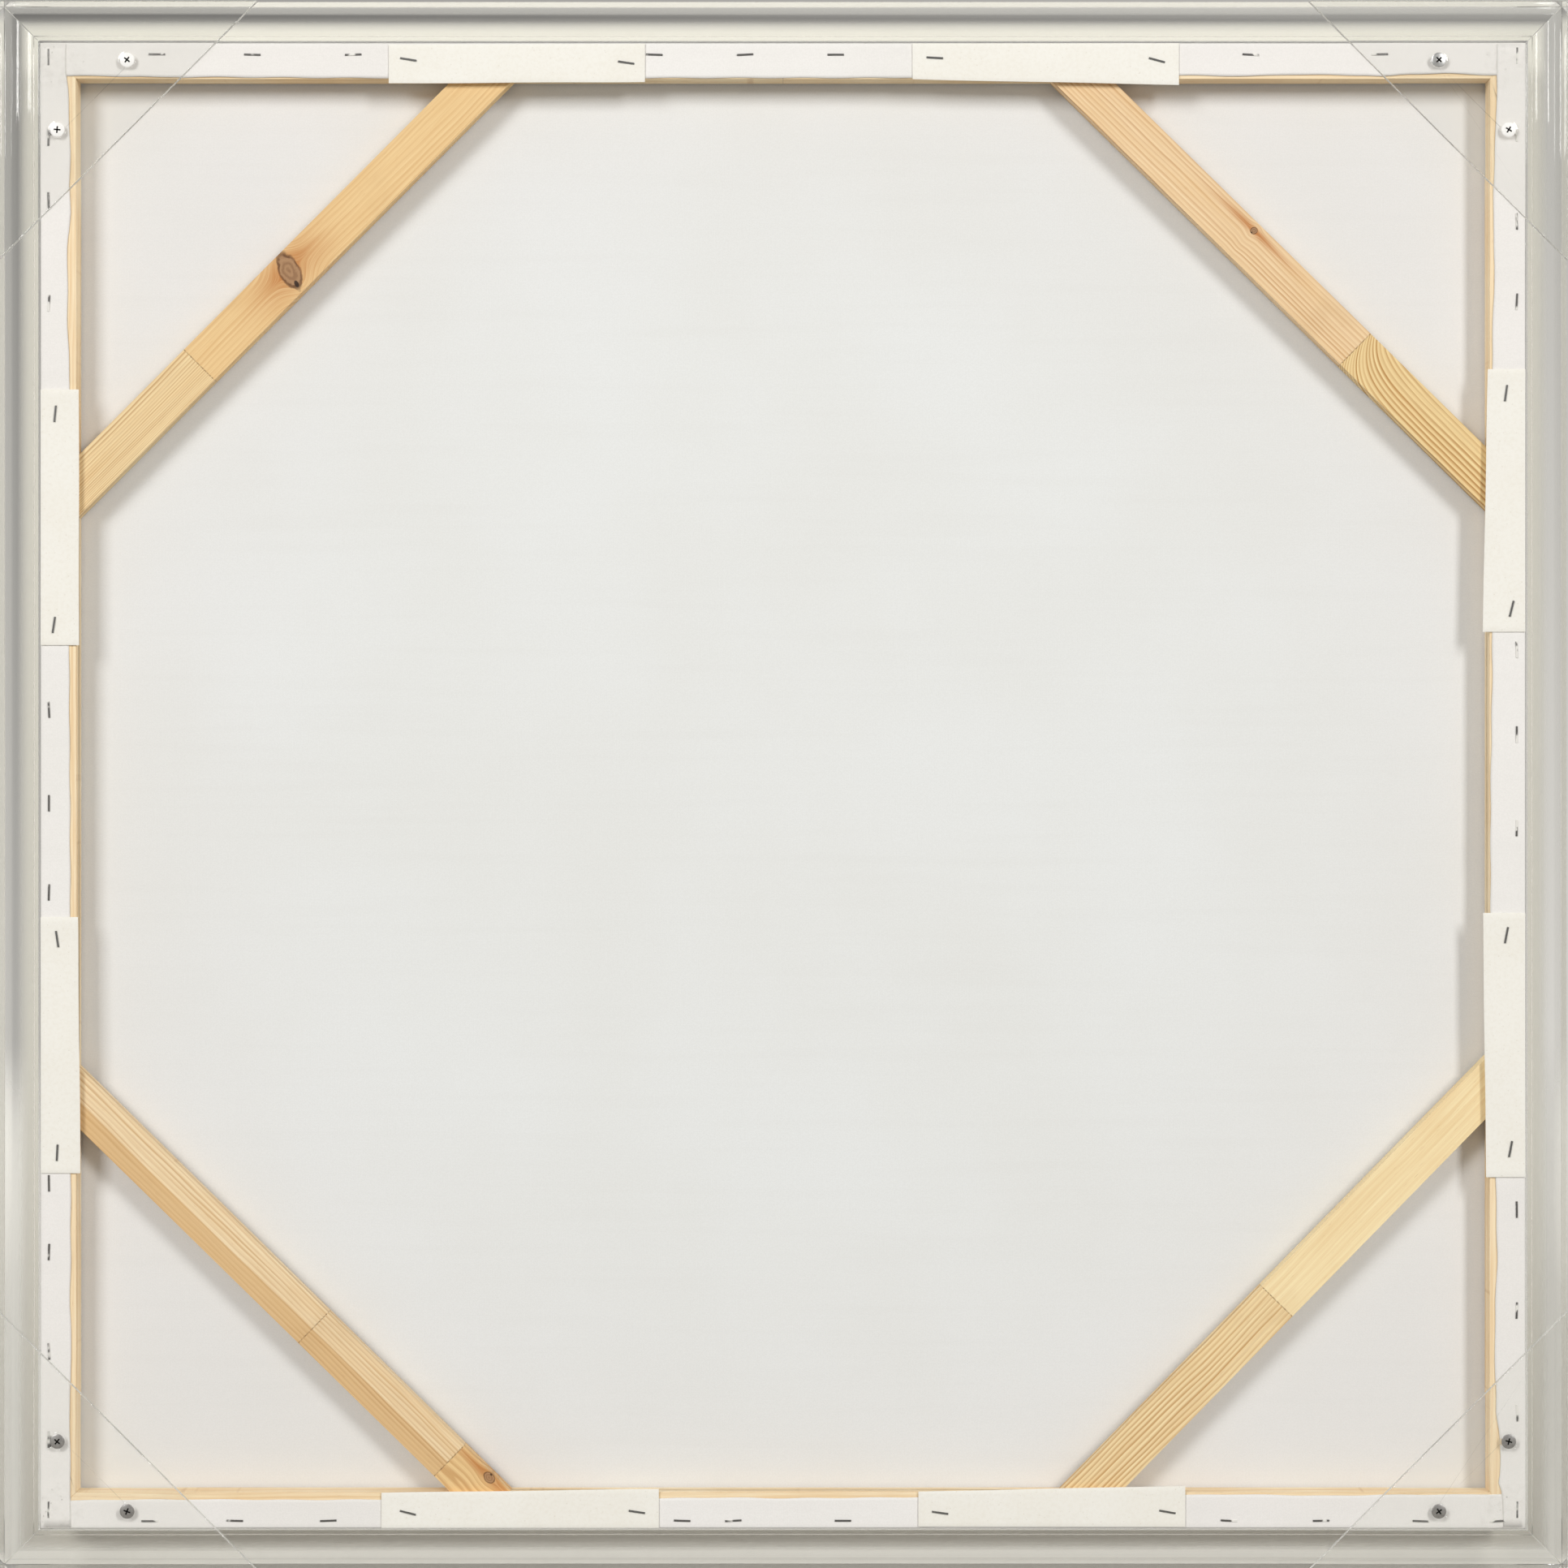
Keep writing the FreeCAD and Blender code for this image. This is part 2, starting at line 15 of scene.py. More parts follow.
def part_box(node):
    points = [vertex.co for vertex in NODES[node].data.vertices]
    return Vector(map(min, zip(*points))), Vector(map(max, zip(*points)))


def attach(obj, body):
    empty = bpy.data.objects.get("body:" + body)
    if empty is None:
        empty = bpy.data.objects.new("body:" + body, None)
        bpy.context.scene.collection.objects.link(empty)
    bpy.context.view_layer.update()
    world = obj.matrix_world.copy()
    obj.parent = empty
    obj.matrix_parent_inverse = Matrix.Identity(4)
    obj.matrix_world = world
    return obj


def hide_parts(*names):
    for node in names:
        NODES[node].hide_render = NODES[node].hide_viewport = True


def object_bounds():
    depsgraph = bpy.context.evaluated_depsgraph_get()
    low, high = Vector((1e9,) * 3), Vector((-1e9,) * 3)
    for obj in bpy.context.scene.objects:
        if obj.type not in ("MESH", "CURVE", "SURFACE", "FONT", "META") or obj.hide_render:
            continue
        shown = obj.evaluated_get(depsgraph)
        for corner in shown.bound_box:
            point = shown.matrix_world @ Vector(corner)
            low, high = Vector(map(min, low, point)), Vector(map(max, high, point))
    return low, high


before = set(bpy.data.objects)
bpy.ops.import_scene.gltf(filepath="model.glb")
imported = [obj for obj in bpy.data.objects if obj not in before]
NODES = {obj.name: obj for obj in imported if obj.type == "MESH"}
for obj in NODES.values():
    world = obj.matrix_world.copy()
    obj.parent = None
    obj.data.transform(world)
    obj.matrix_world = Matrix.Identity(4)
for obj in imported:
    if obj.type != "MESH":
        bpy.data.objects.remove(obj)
CAD_LOW, CAD_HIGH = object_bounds()
MM = 0.001
CENTRE_Z = 0.536
FRONT_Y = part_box("canvas")[0].y
BACK_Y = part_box("canvas")[1].y
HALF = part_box("canvas")[1].x
SIDES = ("top", "bottom", "left", "right")
CORNERS = {"top_left": (1, 1), "top_right": (-1, 1), "bottom_left": (1, -1), "bottom_right": (-1, -1)}


# ---------------------------------------------------------------------------------------------
# Node materials
# ---------------------------------------------------------------------------------------------


class Wire:
    """A number socket that takes part in arithmetic; each step is a Math node."""

    def __init__(self, graph, socket):
        self.graph = graph
        self.socket = socket

    def __add__(self, other):
        return self.graph.math("ADD", self, other)

    def __radd__(self, other):
        return self.graph.math("ADD", other, self)

    def __sub__(self, other):
        return self.graph.math("SUBTRACT", self, other)

    def __rsub__(self, other):
        return self.graph.math("SUBTRACT", other, self)

    def __mul__(self, other):
        return self.graph.math("MULTIPLY", self, other)

    def __rmul__(self, other):
        return self.graph.math("MULTIPLY", other, self)

    def __truediv__(self, other):
        return self.graph.math("DIVIDE", self, other)

    def __neg__(self):
        return self.graph.math("MULTIPLY", self, -1.0)

    def __abs__(self):
        return self.graph.math("ABSOLUTE", self, 0.0)


class Graph:
    """One material's node tree."""

    def __init__(self, name):
        self.material = bpy.data.materials.new(name)
        self.material.use_nodes = True
        self.tree = self.material.node_tree
        self.tree.nodes.clear()
        self.output = self.tree.nodes.new("ShaderNodeOutputMaterial")

    def put(self, value, socket):
        """Joins a wire to a socket, or sets the socket's own value."""
        if isinstance(value, Wire):
            self.tree.links.new(value.socket, socket)
        elif hasattr(value, "links"):
            self.tree.links.new(value, socket)
        else:
            socket.default_value = value

    def node(self, kind, settings=None, **inputs):
        made = self.tree.nodes.new("ShaderNode" + kind)
        for key, value in (settings or {}).items():
            setattr(made, key, value)
        for key, value in inputs.items():
            self.put(value, made.inputs[key.replace("_", " ")])
        return made

    def math(self, operation, first, second, clamp=False):
        made = self.node("Math", {"operation": operation, "use_clamp": clamp})
        self.put(first, made.inputs[0])
        self.put(second, made.inputs[1])
        return Wire(self, made.outputs[0])

    def position(self):
        """The place on the object, in metres, as X, Y and Z wires."""
        place = self.node("TexCoord").outputs["Object"]
        parts = self.node("SeparateXYZ", Vector=place)
        return [Wire(self, parts.outputs[i]) for i in range(3)]

    def vector(self, x, y, z):
        made = self.node("CombineXYZ", X=x, Y=y, Z=z)
        return made.outputs[0]

    def noise(self, vector, scale, detail=3.0, rough=0.5, distortion=0.0):
        made = self.node(
            "TexNoise", Vector=vector, Scale=scale, Detail=detail, Roughness=rough, Distortion=distortion
        )
        return Wire(self, made.outputs[0])

    def cells(self, vector, scale, randomness=1.0):
        made = self.node("TexVoronoi", Vector=vector, Scale=scale, Randomness=randomness)
        return Wire(self, made.outputs["Distance"])

    def ramp(self, value, stops):
        """A colour ramp from (place, colour) stops; a colour is three numbers or one grey."""
        made = self.node("ValToRGB", Fac=value)
        band = made.color_ramp
        while len(band.elements) < len(stops):
            band.elements.new(1.0)
        for element, (place, colour) in zip(band.elements, stops):
            element.position = place
            if isinstance(colour, (int, float)):
                colour = (colour, colour, colour)
            element.color = (*colour, 1.0)
        return made.outputs[0]

    def level(self, value, low, high, out_low=0.0, out_high=1.0):
        """Maps low..high to out_low..out_high with soft ends."""
        made = self.node("MapRange", {"interpolation_type": "SMOOTHSTEP"})
        for socket, number in zip(made.inputs, (value, low, high, out_low, out_high)):
            self.put(number, socket)
        return Wire(self, made.outputs[0])

    def mix(self, amount, first, second, blend="MIX"):
        """Mixes two colours."""
        made = self.node("Mix", {"data_type": "RGBA", "blend_type": blend})
        self.put(amount, made.inputs[0])
        for value, socket in ((first, made.inputs[6]), (second, made.inputs[7])):
            if isinstance(value, tuple):
                value = (*value, 1.0)
            self.put(value, socket)
        return made.outputs[2]

    def bump(self, height, distance, strength=1.0, under=None):
        made = self.node("Bump", Height=height, Distance=distance, Strength=strength)
        if under is not None:
            self.put(under, made.inputs["Normal"])
        return made.outputs[0]

    def principled(self, **inputs):
        made = self.node("BsdfPrincipled")
        for key, value in inputs.items():
            if isinstance(value, tuple) and len(value) == 3:
                value = (*value, 1.0)
            self.put(value, made.inputs[key.replace("_", " ")])
        return made.outputs[0]

    def done(self, shader):
        self.put(shader, self.output.inputs["Surface"])
        return self.material


def srgb(red, green, blue):
    """A colour from 0-255 display values."""
    values = []
    for channel in (red, green, blue):
        c = channel / 255
        values.append(c / 12.92 if c < 0.04045 else ((c + 0.055) / 1.055) ** 2.4)
    return tuple(values)


def falloff(g, value):
    """A bell curve: 1 where value is 0, near 0 beyond 2."""
    return g.math("POWER", 2.718, -(value * value))


def timber(g, along, across, deep, look):
    """Colour and ring height of one length of planed pine; along and across in mm.

    look holds: light and dark colours, ring (spacing in mm), gather (how the rings close up towards
    +across), strength, seed, waver, knots [(along, across, half length, half width, lean, darkness)],
    sweep (along, lift in mm, reach in mm) for rings that curve up at one end, and split
    (across, colour) for a darker strip.
    """
    seed = look["seed"]
    knots = look.get("knots", ())
    bent = across
    for at, off, half_length, half_width, _, _ in knots:
        hill = falloff(g, (along - at) / (half_length * 1.9))
        apart = (across - off) / (half_width * 1.3)
        bent = bent - hill * (apart / (apart * apart + 1.0)) * (half_width * 1.7)
    if "sweep" in look:
        at, lift, reach = look["sweep"]
        rise = g.math("POWER", 2.718, (along - at) / (-reach))
        bent = bent - rise * lift
    waver = look.get("waver", 1.0)
    slow = g.noise(g.vector(along * 0.006, bent * 0.035, seed), 1.0, 2.0, 0.45)
    drift = g.noise(g.vector(along * 0.0018, bent * 0.01 + deep * 0.01, seed + 5.0), 1.0, 1.0)
    quick = g.noise(g.vector(along * 0.05, bent * 0.25, seed + 7.0), 1.0, 2.0)
    ring = look["ring"]
    spread = bent / ring + bent * bent * (look.get("gather", 0.0) / (ring * 30.0)) + deep * 0.1
    spread = spread + slow * (2.4 * waver) + drift * (2.0 * waver) + quick * 0.22
    cycle = g.math("FRACT", spread, 0.0)
    line = g.level(cycle, 0.25, 0.84) * g.level(cycle, 1.0, 0.90)
    even = g.noise(g.vector(spread * 0.45, along * 0.004, seed + 1.0), 1.0, 1.0)
    line = line * g.level(even, 0.32, 0.68, 0.30, 1.0)
    fibre = g.noise(g.vector(along * 0.035, bent * 2.2, deep * 2.2 + seed), 1.0, 3.0, 0.6)
    coarse = g.noise(g.vector(along * 0.012, bent * 0.55, seed + 4.0), 1.0, 3.0, 0.55)
    fleck = g.noise(g.vector(along * 0.12, bent * 1.7, seed + 2.0), 1.0, 1.0, 0.5)
    blotch = g.noise(g.vector(along * 0.014, across * 0.07, seed + 9.0), 1.0, 2.0)
    light = look["light"]
    dark = look["dark"]
    tan = srgb(226, 184, 124)
    colour = g.mix(g.level(coarse, 0.32, 0.70, 0.0, 0.30), light, tan)
    if "split" in look:
        edge, deeper = look["split"]
        wander = (slow - 0.5) * 3.0
        colour = g.mix(g.level(across + wander, edge - 0.4, edge + 0.4) * 0.8, colour, deeper)
    colour = g.mix(line * look["strength"], colour, dark)
    colour = g.mix(g.level(fibre, 0.30, 0.72, 0.0, 0.22), colour, dark)
    colour = g.mix(g.level(fleck, 0.68, 0.80) * 0.30, colour, srgb(176, 118, 64))
    colour = g.mix(g.level(blotch, 0.40, 0.78, 0.0, 0.22), colour, tan)
    for at, off, half_length, half_width, lean, depth in knots:
        from_x = (along - at - (across - off) * lean) / half_length
        from_y = (across - off) / half_width
        wobble = g.noise(g.vector(along * 0.16, across * 0.16, seed + 3.0), 1.0, 3.0)
        apart = g.math("SQRT", from_x * from_x + from_y * from_y, 0.0) + (wobble - 0.5) * 0.7
        tail = falloff(g, (along - at) / 30.0) * falloff(g, (across - off) / (half_width * 1.1))
        streak = g.level(fibre + coarse, 0.70, 1.25)
        colour = g.mix(tail * (streak * 0.55 + 0.45) * depth, colour, srgb(190, 118, 54))
        rings = g.math("SINE", apart * 13.0 + fibre * 3.0, 0.0) * 0.5 + 0.5
        core = g.mix(rings * 0.55, srgb(172, 134, 98), srgb(122, 86, 58))
        colour = g.mix(g.level(apart, 1.08, 0.86) * depth, colour, core)
        rim = g.level(abs(apart - 0.98), 0.16, 0.03) * g.level(wobble, 0.30, 0.60, 0.35, 1.0)
        colour = g.mix(rim * (0.85 * depth), colour, srgb(88, 54, 30))
        crack = falloff(g, (from_x + 0.1) * 4.0) * falloff(g, (from_y + 0.78) * 4.5)
        colour = g.mix(g.level(crack, 0.35, 0.6) * depth, colour, srgb(48, 32, 22))
    return colour, line * 0.5 + fibre * 0.5


def board(name, start, end, lengths):
    """Planed pine running from start to end, both (X, Z from the canvas centre) in mm.

    lengths: (distance along in mm, look) for each finger-jointed length, in order. In a look,
    across is counted outward, away from the canvas centre.
    """
    g = Graph(name)
    x, y, z = g.position()
    run = (Vector(end) - Vector(start)).normalized()
    x = (x - start[0] * MM) * 1000.0
    z = (z - (start[1] * MM + CENTRE_Z)) * 1000.0
    deep = (y - BACK_Y) * 1000.0
    out = Vector((-run.y, run.x))
    if out.dot(Vector(start)) < 0:
        out = -out
    along = x * run.x + z * run.y
    across = x * out.x + z * out.y
    colour = None
    height = None
    seams = None
    for at, look in lengths:
        part_colour, part_height = timber(g, along, across, deep, look)
        if colour is None:
            colour, height = part_colour, part_height
            continue
        past = g.math("GREATER_THAN", along, at)
        colour = g.mix(past, colour, part_colour)
        height = height + (part_height - height) * past
        seam = g.level(abs(along - at), 0.55, 0.20)
        seams = seam if seams is None else seams + seam
    if seams is not None:
        broken = g.noise(g.vector(across * 0.45, 1.0, 1.0), 1.0, 2.0)
        colour = g.mix(seams * g.level(broken, 0.38, 0.62, 0.15, 0.75), colour, srgb(112, 76, 44))
    grime = g.noise(g.vector(x * 0.02, deep * 0.2, z * 0.02), 1.0, 3.0)
    colour = g.mix(g.level(grime, 0.55, 0.80, 0.0, 0.18), colour, srgb(186, 150, 104))
    shader = g.principled(
        Base_Color=colour,
        Roughness=g.level(height, 0.2, 0.8, 0.52, 0.66),
        Specular_IOR_Level=0.3,
        Normal=g.bump(height, 0.00014, 0.6),
    )
    return g.done(shader)


def pine(seed, ring=3.0, strength=0.6, light=(243, 216, 166), dark=(204, 158, 100), **more):
    """A look for timber()."""
    look = {"seed": seed, "ring": ring, "strength": strength}
    look["light"] = srgb(*light)
    look["dark"] = srgb(*dark)
    look.update(more)
    return look


WEAVE_PITCH = 0.00075


def cloth_material(name, base, weave_depth, rough=0.85, folds=False):
    """Primed or bare canvas cloth: a plain weave with soft mottling, faint streaks and a painted shade that
    darkens and warms it towards the edges.

    folds adds the thick paint over the corner folds, with painted shade: dark specks for its small pits, and
    grey on its clots.
    """
    g = Graph(name)
    x, y, z = g.position()
    pitch = 2 * math.pi / WEAVE_PITCH
    warp = g.math("SINE", x * pitch, 0.0)
    weft = g.math("SINE", z * pitch, 0.0)
    weave = warp * weft * 0.5 + 0.5
    place = g.vector(x, y, z)
    slub = g.noise(g.vector(x * 0.15, 0.0, z * 6.0), 260.0, 2.0)
    slub_up = g.noise(g.vector(x * 6.0, 0.0, z * 0.15), 260.0, 2.0)
    cloud = g.noise(place, 5.0, 3.0, 0.55)
    grainy = g.noise(place, 900.0, 3.0, 0.6)
    streak = g.noise(g.vector(x * 1.2, 0.0, z * 26.0), 4.0, 2.0)
    # Painted shade: the cloth grows darker and warmer towards its edges, standing in for the shade and the
    # warm light bounced from the wooden bars.
    reach_x = x / 0.48
    reach_z = (z - CENTRE_Z) / 0.48
    rim = g.level(reach_x * reach_x + reach_z * reach_z, 0.25, 1.5)
    colour = g.mix(rim * 0.55, base, tuple(c * t for c, t in zip(base, (0.96, 0.91, 0.90))))
    colour = g.mix(g.level(cloud, 0.3, 0.7, 0.0, 0.22), colour, srgb(224, 222, 214))
    colour = g.mix(g.level(streak, 0.45, 0.75, 0.0, 0.06), colour, srgb(214, 213, 208))
    colour = g.mix(g.level(grainy, 0.35, 0.65, 0.0, 0.11), colour, srgb(205, 203, 197))
    height = weave * 0.4 + slub * 0.35 + slub_up * 0.35 + grainy * 0.3
    if folds:
        corner = g.level(abs(x), 0.474, 0.482) * g.level(abs(z - CENTRE_Z), 0.474, 0.482)
        clots = g.noise(place, 210.0, 4.0, 0.65)
        # Painted shade: dark specks for small pits in the thick corner paint, and grey patches on its clots.
        pit_shade_specks = g.level(g.cells(place, 260.0), 0.20, 0.08) * g.level(clots, 0.48, 0.60)
        colour = g.mix(corner * pit_shade_specks * 0.55, colour, srgb(150, 145, 136))
        colour = g.mix(corner * g.level(clots, 0.45, 0.70, 0.0, 0.22), colour, srgb(204, 200, 192))
        height = height + corner * clots * 2.2
    normal = g.bump(height, weave_depth, 0.6)
    shader = g.principled(
        Base_Color=colour, Roughness=rough, Specular_IOR_Level=0.2, Sheen_Weight=0.15, Normal=normal
    )
    return g.done(shader)


def card_material():
    g = Graph("cream_card")
    x, y, z = g.position()
    place = g.vector(x, y, z)
    fibre = g.noise(place, 420.0, 4.0, 0.65)
    cloud = g.noise(place, 30.0, 2.0)
    speck = g.level(g.cells(place, 230.0), 0.14, 0.05)
    colour = g.mix(g.level(cloud, 0.3, 0.7, 0.0, 0.35), srgb(245, 243, 235), srgb(240, 236, 225))
    colour = g.mix(g.level(fibre, 0.4, 0.7, 0.0, 0.10), colour, srgb(206, 194, 168))
    colour = g.mix(speck * 0.18, colour, srgb(170, 150, 118))
    shader = g.principled(
        Base_Color=colour,
        Roughness=g.level(fibre, 0.3, 0.7, 0.62, 0.78),
        Specular_IOR_Level=0.3,
        Normal=g.bump(fibre, 0.00006, 0.5),
    )
    return g.done(shader)


def steel_material(name, base, rough, spots=0.0, spot_colour=(0.8, 0.8, 0.78)):
    """Zinc-plated or galvanised steel, with paint or dull spots over it."""
    g = Graph(name)
    x, y, z = g.position()
    place = g.vector(x, y, z)
    dull = g.noise(place, 700.0, 3.0, 0.6)
    patch = g.noise(place, 95.0, 2.0)
    colour = g.mix(g.level(dull, 0.3, 0.7, 0.0, 0.45), base, tuple(c * 0.55 for c in base))
    metal = g.principled(
        Base_Color=colour, Metallic=1.0, Roughness=g.level(dull, 0.2, 0.8, rough, rough + 0.2)
    )
    if not spots:
        return g.done(metal)
    paint = g.principled(Base_Color=spot_colour, Roughness=0.6)
    both = g.node("MixShader")
    thicker = g.level(x, -0.40, -0.47, 0.0, 0.07)
    g.put(g.level(patch + thicker, 0.62 - spots * 0.3, 0.70 - spots * 0.3), both.inputs[0])
    g.put(metal, both.inputs[1])
    g.put(paint, both.inputs[2])
    return g.done(both.outputs[0])


def coated_material():
    g = Graph("white_coated_head")
    x, y, z = g.position()
    dull = g.noise(g.vector(x, y, z), 900.0, 3.0, 0.6)
    colour = g.mix(g.level(dull, 0.4, 0.75, 0.0, 0.35), srgb(252, 251, 248), srgb(214, 211, 204))
    shader = g.principled(
        Base_Color=colour, Roughness=0.42, Coat_Weight=0.3, Normal=g.bump(dull, 0.00004, 0.5)
    )
    return g.done(shader)


def acrylic_material(name, tint, rough, waves, sawn=False):
    """Clear acrylic: glass to the eye, and open to the lamps. waves is the ripple height in metres.

    sawn gives the sheet's cut edges a pale, frosted face.
    """
    g = Graph(name)
    x, y, z = g.position()
    ripple = g.noise(g.vector(x, y, z), 5.0, 1.0)
    scuff = g.noise(g.vector(x, y * 3.0, z), 130.0, 3.0, 0.6)
    glass = g.principled(
        Base_Color=tint,
        Roughness=g.level(scuff, 0.55, 0.8, rough, rough + 0.008),
        IOR=1.49,
        Transmission_Weight=1.0,
        Normal=g.bump(ripple, waves, 0.5),
    )
    if sawn:
        facing = g.node("SeparateXYZ", Vector=g.node("NewGeometry").outputs["True Normal"])
        edge = g.level(abs(Wire(g, facing.outputs[1])), 0.55, 0.35)
        marks = g.noise(g.vector(x, y * 0.2, z), 1500.0, 2.0)
        frost = g.principled(
            Base_Color=g.mix(g.level(marks, 0.3, 0.7), srgb(238, 238, 234), srgb(206, 205, 200)),
            Roughness=0.55,
        )
        cut = g.node("MixShader")
        g.put(edge * 0.72, cut.inputs[0])
        g.put(glass, cut.inputs[1])
        g.put(frost, cut.inputs[2])
        glass = cut.outputs[0]
    rays = g.node("LightPath").outputs
    lamps = g.math("MAXIMUM", rays["Is Shadow Ray"], rays["Is Diffuse Ray"])
    both = g.node("MixShader")
    g.put(lamps, both.inputs[0])
    g.put(glass, both.inputs[1])
    g.put(g.node("BsdfTransparent", Color=(0.985, 0.985, 0.98, 1.0)).outputs[0], both.inputs[2])
    return g.done(both.outputs[0])


# ---------------------------------------------------------------------------------------------
# Placing
# ---------------------------------------------------------------------------------------------


def on_side(side, along, inset, up=0.0):
    """A point by a side: mm along it from the middle, mm in from the cloth's edge, mm above its back."""
    reach = HALF - inset * MM
    y = BACK_Y + up * MM
    spots = {
        "top": (along * MM, y, CENTRE_Z + reach),
        "bottom": (along * MM, y, CENTRE_Z - reach),
        "left": (reach, y, CENTRE_Z + along * MM),
        "right": (-reach, y, CENTRE_Z + along * MM),
    }
    return Vector(spots[side])


def add_object(name, mesh, materials, replaced):
    piece = bpy.data.objects.new(name, mesh)
    bpy.context.scene.collection.objects.link(piece)
    for material in materials:
        mesh.materials.append(material)
    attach(piece, "root")
    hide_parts(*replaced)
    return piece


def between(value, stops):
    """Straight-line lookup in (place, amount) stops, sorted by place."""
    if value <= stops[0][0]:
        return stops[0][1]
    for (low, first), (high, second) in zip(stops, stops[1:]):
        if value <= high:
            return first + (second - first) * (value - low) / (high - low)
    return stops[-1][1]


def smooth(value, low, high):
    t = min(max((value - low) / (high - low), 0.0), 1.0)
    return t * t * (3 - 2 * t)


# ---------------------------------------------------------------------------------------------
# The cloth
# ---------------------------------------------------------------------------------------------

# Width of the turned-over cloth on the back, in mm, at places along each side in mm.
MARGINS = {
    "left": (
        (-508, 21), (-486, 21), (-470, 20.8), (-416, 20.3), (-390, 21.4), (-356, 20.3), (-323, 20.8),
        (-184, 20.8), (-18, 20.3), (82, 19.7), (271, 20.3), (288, 19.7), (315, 18.6), (371, 18.6),
        (393, 20.8), (410, 20.3), (436, 20.8), (476, 19.2), (486, 18), (508, 18),
    ),
    "right": (
        (-508, 16), (-484, 16), (-478, 18.8), (-470, 17.8), (-443, 17.8), (-430, 20.5), (-376, 21.1),
        (-351, 20.5), (-323, 19.4), (-270, 20.5), (-83, 24), (-46, 24), (-3, 23.9), (77, 22.8),
        (303, 22.8), (343, 21.6), (356, 21.1), (383, 22.2), (436, 21.6), (450, 20.5), (476, 20),
        (508, 20),
    ),
    "top": (
        (-508, 22.2), (-479, 22.2), (-453, 21.1), (-426, 21.6), (-413, 23.3), (-399, 22.2),
        (-346, 21.6), (-319, 22.8), (-279, 22.2), (-66, 23.9), (81, 24), (294, 24), (400, 23.3),
        (427, 23.9), (440, 23.3), (480, 22.8), (508, 22.8),
    ),
    "bottom": (
        (-508, 24), (-466, 23.3), (-426, 23.3), (-373, 22.2), (-306, 23.3), (-279, 22.8),
        (-73, 21.1), (0, 20.5), (47, 21.1), (81, 20.5), (334, 19.4), (440, 20), (480, 19.4),
        (508, 19.4),
    ),
}
STEPS = 168
EDGE_ROUND = 1.2
SKIN = 0.5


def edge_profile():
    """The cloth's path over a bar, as (mm in from the outer face, mm behind the front)."""
    depth = (BACK_Y - FRONT_Y) / MM
    points = []
    for turn in (0, 30, 60, 90):
        angle = math.radians(turn)
        points.append((EDGE_ROUND * (1 - math.sin(angle)), EDGE_ROUND * (1 - math.cos(angle))))
    points += [(0.0, depth * 0.25), (0.0, depth * 0.5), (0.0, depth * 0.75)]
    for turn in (0, 30, 60, 90):
        angle = math.radians(turn)
        points.append((EDGE_ROUND * (1 - math.cos(angle)), depth - EDGE_ROUND * (1 - math.sin(angle))))
    return points


def margin_rise(side, along, inset, width):
    """How far the turned-over cloth stands off the bar, in mm: laps, puckers and lifted edges."""
    over = smooth(abs(along), 478, 487)
    rise = 0.0
    if side in ("left", "right"):
        rise += 0.42 * over * smooth(inset, 1.5, 4.0)
        rise -= 0.20 * over * smooth(inset, width - 1.6, width)
    free = 1.0 - over
    pucker = 0.5 + 0.5 * math.sin(along * 0.093 + len(side)) * math.sin(along * 0.041 + 1.7 * len(side))
    rise += 0.30 * free * pucker * smooth(inset, 8.0, width) * (0.0 if under_card(side, along) else 1.0)
    return rise


def build_cloth():
    mesh_maker = bmesh.new()
    reach = HALF / MM
    front_half = reach - EDGE_ROUND
    ticks = [-1 + 2 * i / STEPS for i in range(STEPS + 1)]
    grid = []
    for row in ticks:
        line = []
        for column in ticks:
            spot = (column * front_half * MM, FRONT_Y, CENTRE_Z + row * front_half * MM)
            line.append(mesh_maker.verts.new(spot))
        grid.append(line)
    for low, high in zip(grid, grid[1:]):
        for i in range(STEPS):
            mesh_maker.faces.new((low[i], low[i + 1], high[i + 1], high[i]))
    profile = edge_profile()
    for side in SIDES:
        rows = []
        for inset, depth in profile:
            half = reach - inset
            up = depth - (BACK_Y - FRONT_Y) / MM
            rows.append([mesh_maker.verts.new(on_side(side, t * half, inset, up)) for t in ticks])
        start = profile[-1][0]
        for part in range(1, 11):
            line = []
            for t in ticks:
                along = t * (reach - start)
                width = between(along, MARGINS[side])
                share = (part / 10) ** 0.9
                inset = start + (width - start) * share
                ragged = 0.25 * math.sin(along * 0.9 + 3 * len(side)) * (part == 10)
                line.append(
                    mesh_maker.verts.new(
                        on_side(side, along, inset + ragged, margin_rise(side, along, inset, width))
                    )
                )
            rows.append(line)
        for low, high in zip(rows, rows[1:]):
            for i in range(STEPS):
                mesh_maker.faces.new((low[i], low[i + 1], high[i + 1], high[i]))
    bmesh.ops.remove_doubles(mesh_maker, verts=mesh_maker.verts, dist=0.00002)
    bmesh.ops.recalc_face_normals(mesh_maker, faces=mesh_maker.faces)
    test = min(mesh_maker.faces, key=lambda face: face.calc_center_median().y)
    if test.normal.y > 0:
        bmesh.ops.reverse_faces(mesh_maker, faces=mesh_maker.faces)
    mesh = bpy.data.meshes.new("canvas_cloth")
    mesh_maker.to_mesh(mesh)
    mesh_maker.free()
    mesh.polygons.foreach_set("use_smooth", [True] * len(mesh.polygons))
    materials = [
        cloth_material("primed_canvas", srgb(247, 247, 244), 0.00022, 0.7, folds=True),
        cloth_material("canvas_back", srgb(236, 238, 237), 0.00012),
        cloth_material("cut_canvas_edge", srgb(226, 220, 204), 0.0001),
    ]
    piece = add_object("canvas_cloth", mesh, materials, ["canvas"])
    skin = piece.modifiers.new("thickness", "SOLIDIFY")
    skin.thickness = SKIN * MM * 0.9
    skin.offset = -1.0
    skin.material_offset = 1
    skin.material_offset_rim = 2
    return piece


# ---------------------------------------------------------------------------------------------
# Card strips
# ---------------------------------------------------------------------------------------------

